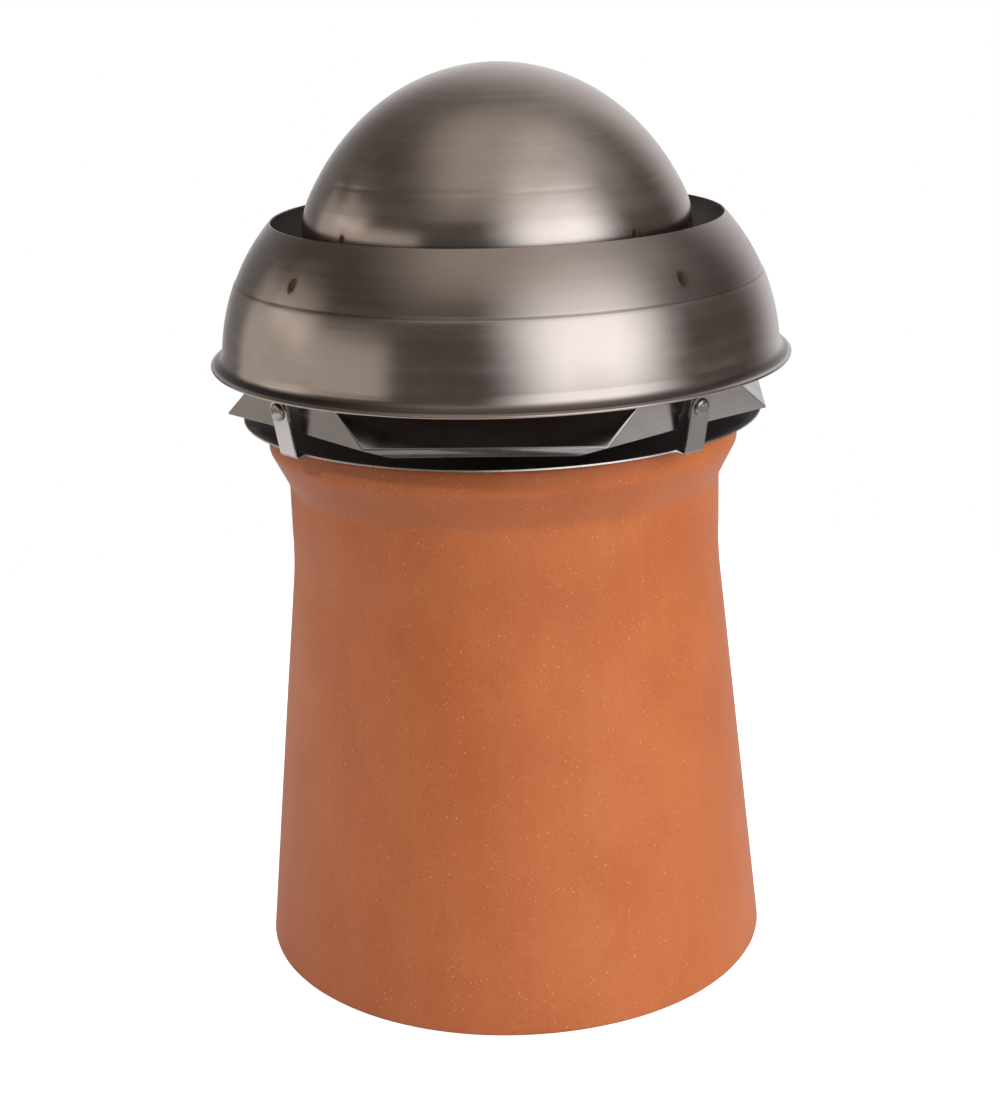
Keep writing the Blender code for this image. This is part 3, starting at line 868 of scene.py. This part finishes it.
def leg_path():
    """The middle of a leg's strip: up behind the strap, along the ring's wall, and hooked into the dome."""
    s = settings()
    g, d, leg = s.general, s.dish, s.leg
    behind = g.sheet / 2 + g.gap + leg.thickness / 2
    along = Vector((math.sin(d.strap_lean), math.cos(d.strap_lean)))
    inward = Vector((-along.y, along.x))
    rivet = Vector(strap_at(rim_height() + d.rivet_height)) + inward * behind
    foot = rivet - along * leg.past_rivet
    bend = rivet + along * leg.past_rivet

    def against(line, low, high):
        """The points of a turned wall between two heights, moved in so that the flat strip clears it."""
        inset = g.sheet + g.gap + leg.thickness / 2
        return [(r - leg.width ** 2 / 8 / r, z, 0) for r, z in offset(line, inset) if low <= z <= high]

    ring_top = s.ring.bottom + s.ring.height
    wall = against(ring_line(), s.ring.bottom + leg.above_lip, ring_top - leg.below_mouth)
    last = (*wall[-1][:2], leg.bend)
    wall = [p for p in wall if p[1] < last[1] - 3 * leg.bend] + [last]
    inside = against(dome_line(), DOME_LOW.z - g.gap, DOME_LOW.z + leg.in_dome)
    hook = (inside[0][0], DOME_LOW.z - leg.hook_drop, leg.bend)
    return filleted([(*foot, 0), (*bend, leg.bend)] + wall + [hook] + inside[1:], g.bend_steps)


# Folded sheet

def sheet_finishes():
    """The folded sheet's outer faces, its cut edges, and its inner faces."""
    return [folded_steel("folded steel"), cut_edge("cut edge steel"), inner_steel("inner sheet steel")]


def face_outwards(shape, middle):
    """Turns an open sheet's faces so that they look away from the middle."""
    bmesh.ops.recalc_face_normals(shape, faces=shape.faces)
    looks = sum(face.normal.dot(face.calc_center_median() - middle) * face.calc_area()
                for face in shape.faces)
    if looks < 0:
        bmesh.ops.reverse_faces(shape, faces=shape.faces)


def thicken(piece):
    """Gives a piece made as a surface the sheet's thickness, with its cut edges rounded."""
    skin = piece.modifiers.new("sheet", "SOLIDIFY")
    skin.thickness = settings().general.sheet
    skin.offset = 0
    skin.use_even_offset = True
    skin.material_offset_rim = 1
    skin.material_offset = 2
    round_edges(piece, 60)


def round_edges(piece, degrees):
    """Rounds the edges that are sharper than an angle."""
    edges = piece.modifiers.new("edges", "BEVEL")
    edges.limit_method = "ANGLE"
    edges.angle_limit = math.radians(degrees)
    edges.width = settings().general.edge
    edges.segments = 2
    edges.harden_normals = True


# Operators

class COWL_OT_pot(Operator):
    """Turn the terracotta pot, with its bore, its soft creases and its small unevenness"""
    bl_idname = "cowl.pot"
    bl_label = "Pot"

    def execute(self, context):
        s = settings()
        p = s.pot
        shape = turned(pot_profile(), even_turns(s.general.segments))

        def uneven(co):
            return p.unevenness * (ripple(co, 9, 6) + 0.35 * ripple(co, 45, 14))

        move_outwards(shape, uneven)
        pot = add_piece("pot_fired", shape, [fired_clay("terracotta")], "terracotta", "pot")
        keep_sharp(pot, 60)
        return {"FINISHED"}


class COWL_OT_base_dish(Operator):
    """Form the dish and the four straps bent up from its rim, with the rim drawn down to their folds"""
    bl_idname = "cowl.base_dish"
    bl_label = "Base dish"

    def execute(self, context):
        d = settings().dish
        floor = divided(dish_line()[:-1], DISH_SPACING)
        root_radius = floor[-1][0]
        strap_half = math.asin(d.strap_width / 2 / root_radius)
        web_half = strap_half + d.web_width / root_radius
        strap_turns = spread(-strap_half, strap_half, STRAP_PARTS)
        web_turns = spread(strap_half, web_half, WEB_PARTS)
        plain_turns = spread(web_half, QUARTER - web_half, RIM_PARTS)
        far_turns = [QUARTER - turn for turn in web_turns[::-1]]
        turns = strap_turns + web_turns[1:] + plain_turns[1:] + far_turns[1:-1]
        shape = bmesh.new()
        bowl = [self.column(floor, index, turn) for index in range(CORNERS) for turn in turns]
        add_grid(shape, bowl + bowl[:1])
        low, high = self.strap_rows()
        rim = divided(dish_line()[-2:], math.dist(*dish_line()[-2:]) / (len(low) - 1) + 1e-6)
        for index in range(CORNERS):
            columns = [self.column(rim, index, turn) for turn in plain_turns]
            sides = self.strap_side(low, index, 1), self.strap_side(low, index + 1, -1)
            near = [mixed_points(sides[0], columns[0], k / WEB_PARTS) for k in range(WEB_PARTS)]
            far = [mixed_points(columns[-1], sides[1], k / WEB_PARTS) for k in range(1, WEB_PARTS + 1)]
            add_grid(shape, near + columns + far)
            across = [self.strap_side(low, index, 2 * k / STRAP_PARTS - 1) for k in range(STRAP_PARTS + 1)]
            add_grid(shape, across)
            add_grid(shape, self.strap_head(high, corner_turn(index)))
        bmesh.ops.remove_doubles(shape, verts=shape.verts, dist=SAME_POINT)
        face_outwards(shape, Vector((0, 0, rim_height() + d.strap_top)))
        dish = add_piece("base_dish_formed", shape, sheet_finishes(), "folded_steel", "base_dish")
        thicken(dish)
        return {"FINISHED"}

    def column(self, line, index, turn):
        turned_to = corner_turn(index) @ Matrix.Rotation(turn, 4, "Z")
        return [turned_to @ Vector((r, 0, z)) for r, z in line]

    def strap_rows(self):
        """The strap's line from the bowl to the middle of its fold, and from there to its round top."""
        d = settings().dish
        fold, top = strap_path()
        path = filleted([(*dish_line()[-2], 0), (*fold, d.fold_radius), (*top, 0)], FOLD_PARTS)
        middle = 1 + FOLD_PARTS // 2
        return divided(path[:middle + 1], STRAP_SPACING), divided(path[middle:], STRAP_SPACING)

    def strap_side(self, rows, index, side):
        """The rows' points at a share of the strap's half width, on the bowl's round edge at their start."""
        half = side * settings().dish.strap_width / 2
        root_radius = rows[0][0]
        hollow = root_radius - math.sqrt(root_radius ** 2 - half ** 2)
        last = len(rows) - 1
        return [corner_turn(index) @ Vector((r - hollow * (1 - n / last), half, z))
                for n, (r, z) in enumerate(rows)]

    def strap_head(self, rows, place):
        """The strap's upright part with its round top, as rows of points across it."""
        half = settings().dish.strap_width / 2
        fold, top = strap_path()
        along = (top - fold).normalized()
        head = [(row, half) for row in rows]
        for turn in spread(0, math.pi / 2, HEAD_PARTS)[1:]:
            head.append((top + along * half * math.sin(turn), half * math.cos(turn)))
        return [[place @ Vector((r, width * (2 * k / STRAP_PARTS - 1), z)) for k in range(STRAP_PARTS + 1)]
                for (r, z), width in head]


class COWL_OT_louvre_body(Operator):
    """Fold the louvre body: slotted corner plates, and four louvres with turned-down lips"""
    bl_idname = "cowl.louvre_body"
    bl_label = "Louvre body"

    def execute(self, context):
        s = settings()
        v = s.louvre
        corner = rim_radius() - v.corner_inset
        bottom = rim_height() + v.lift
        top = bottom + v.height
        low_reach = corner - v.setback
        high_reach = low_reach - v.height * math.tan(v.slope)
        low_half = low_reach * math.sqrt(2) - corner
        high_half = high_reach * math.sqrt(2) - corner
        ear_half = s.leg.width / 2
        ear_reach = radius_at(leg_path(), top) - s.leg.thickness / 2 - s.general.gap
        arch = bottom + v.slot_height - v.slot_half_width
        shape = bmesh.new()
        edges = []
        for index in range(CORNERS):
            place = corner_turn(index)

            def point(side, height, distance=corner, place=place):
                return shape.verts.new(place @ Vector((distance, side, height)))

            low = [point(-low_half, bottom), point(low_half, bottom)]
            high = [point(-high_half, top), point(high_half, top)]
            ear = [point(-ear_half, top), point(ear_half, top)]
            slot = [point(-v.slot_half_width, bottom)]
            for turn in spread(math.pi, 0, ARCH_PARTS):
                slot.append(point(v.slot_half_width * math.cos(turn),
                                  arch + v.slot_half_width * math.sin(turn)))
            slot.append(point(v.slot_half_width, bottom))
            shape.faces.new([low[0]] + slot + [low[1], high[1], ear[1], ear[0], high[0]])
            tip = [point(-ear_half, top, ear_reach), point(ear_half, top, ear_reach)]
            shape.faces.new((ear[0], ear[1], tip[1], tip[0]))
            edges.append((low, high))
        for index in range(CORNERS):
            (near_low, near_high), (far_low, far_high) = edges[index], edges[(index + 1) % CORNERS]
            shape.faces.new((near_low[1], far_low[0], far_high[0], near_high[1]))
            middle = (near_low[1].co + far_low[0].co) / 2
            across = (far_low[0].co - near_low[1].co).normalized()
            down = Vector((0, 0, -v.lip_drop))
            lip = [shape.verts.new(middle + across * side * v.lip_half_width + down) for side in (-1, 1)]
            shape.faces.new((near_low[1], lip[0], lip[1], far_low[0]))
        face_outwards(shape, Vector((0, 0, bottom)))
        body = add_piece("louvre_body_folded", shape, sheet_finishes(), "folded_steel", "louvre_body")
        folds = body.modifiers.new("folds", "BEVEL")
        folds.limit_method = "ANGLE"
        folds.angle_limit = math.radians(15)
        folds.width = s.general.fold
        folds.segments = 4
        thicken(body)
        flat = body.modifiers.new("flat plates", "WEIGHTED_NORMAL")
        flat.weight = 100
        flat.keep_sharp = True
        return {"FINISHED"}


class COWL_OT_legs(Operator):
    """Bend the four legs that tie the straps to the ring and the dome"""
    bl_idname = "cowl.legs"
    bl_label = "Legs"

    def execute(self, context):
        s = settings()
        path = leg_path()
        outline = offset(path, s.leg.thickness / 2) + offset(path, -s.leg.thickness / 2)[::-1]
        half = s.leg.width / 2
        last = len(outline) - 1
        finish = folded_steel("leg steel")
        for index in range(CORNERS):
            shape = bmesh.new()
            sides = [[shape.verts.new((r, y, z)) for r, z in outline] for y in (-half, half)]
            for side in sides:
                for k in range(len(path) - 1):
                    shape.faces.new((side[k], side[k + 1], side[last - k - 1], side[last - k]))
            for k in range(len(outline)):
                ahead = (k + 1) % len(outline)
                shape.faces.new((sides[0][k], sides[0][ahead], sides[1][ahead], sides[1][k]))
            bmesh.ops.recalc_face_normals(shape, faces=shape.faces)
            shape.transform(corner_turn(index))
            leg = add_piece(f"leg_bent_{index + 1}", shape, [finish], "folded_steel", f"leg_{index + 1}")
            round_edges(leg, 55)
        return {"FINISHED"}


class COWL_OT_rivets(Operator):
    """Set the four round-headed rivets"""
    bl_idname = "cowl.rivets"
    bl_label = "Rivets"

    def execute(self, context):
        s = settings()
        d = s.dish
        finish = rivet_steel("rivet steel")
        outer = s.general.sheet / 2 + s.general.gap / 3
        dome_foot = outer + d.head_height * 0.25
        inner = -(s.general.sheet / 2 + s.leg.thickness + 2 * s.general.gap)
        corners = [(0, inner - d.tail_height, 0), (d.rivet_tail, inner - d.tail_height, 3 * d.head_ease),
                   (d.rivet_tail, inner, 1.5 * d.head_ease), (d.rivet_shank, inner, 0),
                   (d.rivet_shank, outer, 0), (d.rivet_head, outer, d.head_ease),
                   (d.rivet_head, dome_foot, 2 * d.head_ease)]
        head = arc((0, dome_foot), d.rivet_head, d.head_height * 0.75, 0.05, math.pi / 2, 12)
        head[-1] = (0, head[-1][1])
        profile = filleted(corners, 4)[:-1] + head
        radius, height = strap_at(rim_height() + d.rivet_height)
        tilt = Matrix.Rotation(math.pi / 2 + d.strap_lean, 4, "Y")
        for index in range(CORNERS):
            shape = turned(profile, even_turns(RIVET_SIDES), closed=False)
            shape.transform(corner_turn(index) @ Matrix.Translation((radius, 0, height)) @ tilt)
            rivet = add_piece(f"rivet_set_{index + 1}", shape, [finish], "rivet_steel", f"rivet_{index + 1}")
            keep_sharp(rivet, 40)
        return {"FINISHED"}


class COWL_OT_wind_ring(Operator):
    """Spin the wind ring, with its flared lip, its step and its weld marks"""
    bl_idname = "cowl.wind_ring"
    bl_label = "Wind ring"

    def execute(self, context):
        s = settings()
        r, w = s.ring, s.weld
        line = divided(ring_line(), RING_SPACING)
        inner = offset(line, s.general.sheet)
        edge = Vector(line[0]).lerp(Vector(inner[0]), 0.5)
        bead = arc((edge.x - r.bead, edge.y), r.bead, r.bead, -math.pi / 2, math.pi / 2, 10)
        mouth = Vector(line[-1]).lerp(Vector(inner[-1]), 0.5)
        shape = turned(bead + line[2:] + [tuple(mouth + Vector((0, EDGE_CROWN)))] + inner[:1:-1],
                       turns_with_welds(s.general.segments, *RING_WELD_SIDES))
        weld = r.bottom + r.weld_height
        step = r.bottom + r.step_height

        def spun(co):
            stepped = -r.step_depth * smooth(co.z, step, step + r.step_width)
            groove = turned_line(co, step, r.groove_depth, r.groove_width)
            dent = weld_dent(co, weld, w.half_width, w.half_height, w.depth)
            return stepped + groove + r.wave * ripple(co, 7, 10) + dent

        move_outwards(shape, spun)
        mark_inside(shape, Vector((0, 0, r.bottom)))
        finish = spun_steel("spun ring steel", weld, w.half_width, w.half_height, step, r.bottom)
        ring = add_piece("wind_ring_spun", shape, [finish, inner_steel("inner ring steel")], "spun_steel",
                         "wind_ring")
        keep_sharp(ring, 50)
        return {"FINISHED"}


class COWL_OT_dome(Operator):
    """Spin the dome, with its skirt, a fine turned line and its weld marks"""
    bl_idname = "cowl.dome"
    bl_label = "Dome"

    def execute(self, context):
        s = settings()
        d, w = s.dome, s.weld
        line = divided(dome_line(), DOME_SPACING)
        inner = offset(line, s.general.sheet)
        inner[-1] = (0, inner[-1][1])
        edge = Vector(line[0]).lerp(Vector(inner[0]), 0.5) - Vector((0, EDGE_CROWN))
        shape = turned(inner[::-1] + [tuple(edge)] + line,
                       turns_with_welds(s.general.segments, *DOME_WELD_SIDES), closed=False)
        weld = DOME_LOW.z + d.weld_height
        groove_height = DOME_LOW.z + d.groove_height
        half_width = w.half_width * w.dome_share
        half_height = w.half_height * w.dome_share

        def spun(co):
            groove = turned_line(co, groove_height, d.groove_depth, d.groove_width)
            dent = weld_dent(co, weld, half_width, half_height, w.depth)
            return groove + d.wave * ripple(co, 6, 8) + dent

        move_outwards(shape, spun)
        mark_inside(shape, Vector((0, 0, DOME_LOW.z)))
        finish = spun_steel("spun dome steel", weld, half_width, half_height, NO_STEP, RING_LOW.z)
        dome = add_piece("dome_spun", shape, [finish, inner_steel("inner dome steel")], "spun_steel", "dome")
        keep_sharp(dome, 50)
        return {"FINISHED"}


class COWL_OT_stage(Operator):
    """Set the floor, the soft light and the camera"""
    bl_idname = "cowl.stage"
    bl_label = "Stage"

    def execute(self, context):
        stage = settings().stage
        self.add_camera(context.scene, stage)
        self.add_floor(context.scene, stage)
        self.add_room(context.scene, stage)
        self.add_lamps(context.scene)
        return {"FINISHED"}

    def add_camera(self, scene, stage):
        data = bpy.data.cameras.new("camera")
        data.lens = stage.lens
        data.sensor_width = 36
        camera = bpy.data.objects.new("camera", data)
        place = Matrix.Translation((-stage.camera_left, -stage.camera_away, stage.camera_height))
        tilt = Matrix.Rotation(math.pi / 2 - stage.camera_down, 4, "X")
        camera.matrix_world = place @ tilt @ Matrix.Rotation(-stage.camera_roll, 4, "Z")
        scene.collection.objects.link(camera)
        scene.camera = camera

    def add_floor(self, scene, stage):
        shape = bmesh.new()
        bmesh.ops.create_circle(shape, cap_ends=True, segments=96, radius=stage.floor_radius)
        mesh = bpy.data.meshes.new("floor")
        shape.to_mesh(mesh)
        shape.free()
        floor = bpy.data.objects.new("floor", mesh)
        finish = Finish("plain floor", 0.7, 0)
        # Painted shade: the floor darkens towards its right edge.
        shade = finish.ranged(finish.x, *FLOOR_RIGHT_SHADE, 1.0, stage.floor_right_shade)
        finish.colour(finish.mixed(shade, (0, 0, 0), tuple(settings().finish.floor)))
        finish.put(finish.shader.inputs["Emission Color"], (1, 1, 1))
        seen = finish.add("ShaderNodeLightPath").outputs["Is Camera Ray"]
        # Painted light: a glow on the floor's left edge, which lights the pot and shows in the left strap.
        glow = finish.ranged(finish.x, *FLOOR_LEFT_GLOW, stage.floor_left_glow, 0.0)
        finish.put(finish.shader.inputs["Emission Strength"],
                   finish.math("MAXIMUM", glow, finish.math("MULTIPLY", seen, stage.floor_glow)))
        mesh.materials.append(finish.material)
        floor.location.z = -FLOOR_DROP
        scene.collection.objects.link(floor)

    def add_room(self, scene, stage):
        """The backdrop that the camera sees, and the soft boxes round it that light and show in the steel."""
        world = bpy.data.worlds.new("room")
        scene.world = world
        world.use_nodes = True
        nodes = Nodes(world.node_tree)
        backdrop = nodes.tree.nodes["Background"]
        nodes.put(backdrop.inputs["Color"], (1, 1, 1))
        nodes.put(backdrop.inputs["Strength"], stage.backdrop)
        direction = nodes.add("ShaderNodeTexCoord").outputs["Generated"]
        light = tuple(stage.room * part for part in WARM)
        for turn, rise, across, along, radiance, tint in SOFT_BOXES:
            inside = self.box_share(nodes, direction, turn, rise, across, along)
            light = nodes.vectors("MULTIPLY_ADD", inside, tuple(radiance * part for part in tint), light)
        rise = nodes.math("ARCSINE", nodes.add("ShaderNodeSeparateXYZ", Vector=direction).outputs["Z"])
        below = nodes.ranged(rise, *ROOM_HORIZON, stage.below, 1.0)
        path = nodes.add("ShaderNodeLightPath").outputs
        soft = nodes.ranged(path["Is Diffuse Ray"], 0.0, 1.0, 1.0, stage.diffuse_share)
        strength = nodes.math("MULTIPLY", below, soft)
        room = nodes.add("ShaderNodeBackground", Color=light, Strength=strength)
        seen = path["Is Camera Ray"]
        mix = nodes.add("ShaderNodeMixShader")
        for socket, value in zip(mix.inputs, (seen, room.outputs[0], backdrop.outputs[0])):
            nodes.put(socket, value)
        nodes.put(nodes.tree.nodes["World Output"].inputs["Surface"], mix.outputs[0])
        scene.view_settings.view_transform = "Standard"

    def box_share(self, nodes, direction, turn, rise, across, along):
        """1 where a direction lies in a soft box, and 0 past its faded edge."""
        facing = Matrix.Rotation(math.radians(turn), 3, "Z") @ Matrix.Rotation(-math.radians(rise), 3, "X")
        axes = [tuple(facing @ Vector(axis)) for axis in ((0, -1, 0), (1, 0, 0), (0, 0, 1))]
        ahead, aside, above = (nodes.vectors("DOT_PRODUCT", direction, axis, output="Value") for axis in axes)
        sideways = nodes.math("ABSOLUTE", nodes.math("ARCTAN2", aside, ahead))
        upwards = nodes.math("ABSOLUTE", nodes.math("ARCSINE", above))
        return nodes.math("MULTIPLY", nodes.ranged(sideways, *(math.radians(v) for v in across), 1.0, 0.0),
                          nodes.ranged(upwards, *(math.radians(v) for v in along), 1.0, 0.0))

    def add_lamps(self, scene):
        """Large soft lamps for the clay, which the steel doesn't mirror."""
        for name, turn, rise, distance, size, radiance in SOFT_LAMPS:
            data = bpy.data.lights.new(name, "AREA")
            data.size = size
            data.energy = radiance * math.pi * size ** 2
            lamp = bpy.data.objects.new(name, data)
            turn, rise = math.radians(turn), math.radians(rise)
            away = Vector((math.sin(turn) * math.cos(rise), -math.cos(turn) * math.cos(rise), math.sin(rise)))
            lamp.location = Vector((0, 0, POT_TOP.z)) + away * distance
            lamp.rotation_euler = away.to_track_quat("Z", "Y").to_euler()
            lamp.visible_camera = False
            lamp.visible_glossy = False
            scene.collection.objects.link(lamp)


class COWL_PT_panel(Panel):
    """Every step, and the sizes that it reads"""
    bl_idname = "COWL_PT_panel"
    bl_label = "Domed chimney cowl"
    bl_space_type = "VIEW_3D"
    bl_region_type = "UI"
    bl_category = "Cowl"

    def draw(self, context):
        for operator in OPERATORS:
            self.layout.operator(operator.bl_idname)
        for group in CowlSettings.__annotations__:
            box = self.layout.box()
            box.label(text=group.capitalize())
            values = getattr(context.scene.cowl, group)
            for name in values.__annotations__:
                box.prop(values, name)


OPERATORS = (COWL_OT_stage, COWL_OT_pot, COWL_OT_base_dish, COWL_OT_louvre_body, COWL_OT_legs,
             COWL_OT_rivets, COWL_OT_wind_ring, COWL_OT_dome)
GROUPS = (GeneralSizes, PotSizes, DishSizes, LouvreSizes, LegSizes, RingSizes, DomeSizes, WeldSizes,
          FinishColours, StageSizes, CowlSettings)


def register():
    for made in (*GROUPS, *OPERATORS, COWL_PT_panel):
        bpy.utils.register_class(made)
    bpy.types.Scene.cowl = PointerProperty(type=CowlSettings)


def unregister():
    del bpy.types.Scene.cowl
    for made in reversed((*GROUPS, *OPERATORS, COWL_PT_panel)):
        bpy.utils.unregister_class(made)


def main():
    register()
    bpy.ops.cowl.stage()
    bpy.ops.cowl.pot()
    bpy.ops.cowl.base_dish()
    bpy.ops.cowl.louvre_body()
    bpy.ops.cowl.legs()
    bpy.ops.cowl.rivets()
    bpy.ops.cowl.wind_ring()
    bpy.ops.cowl.dome()


if __name__ == "__main__":
    main()
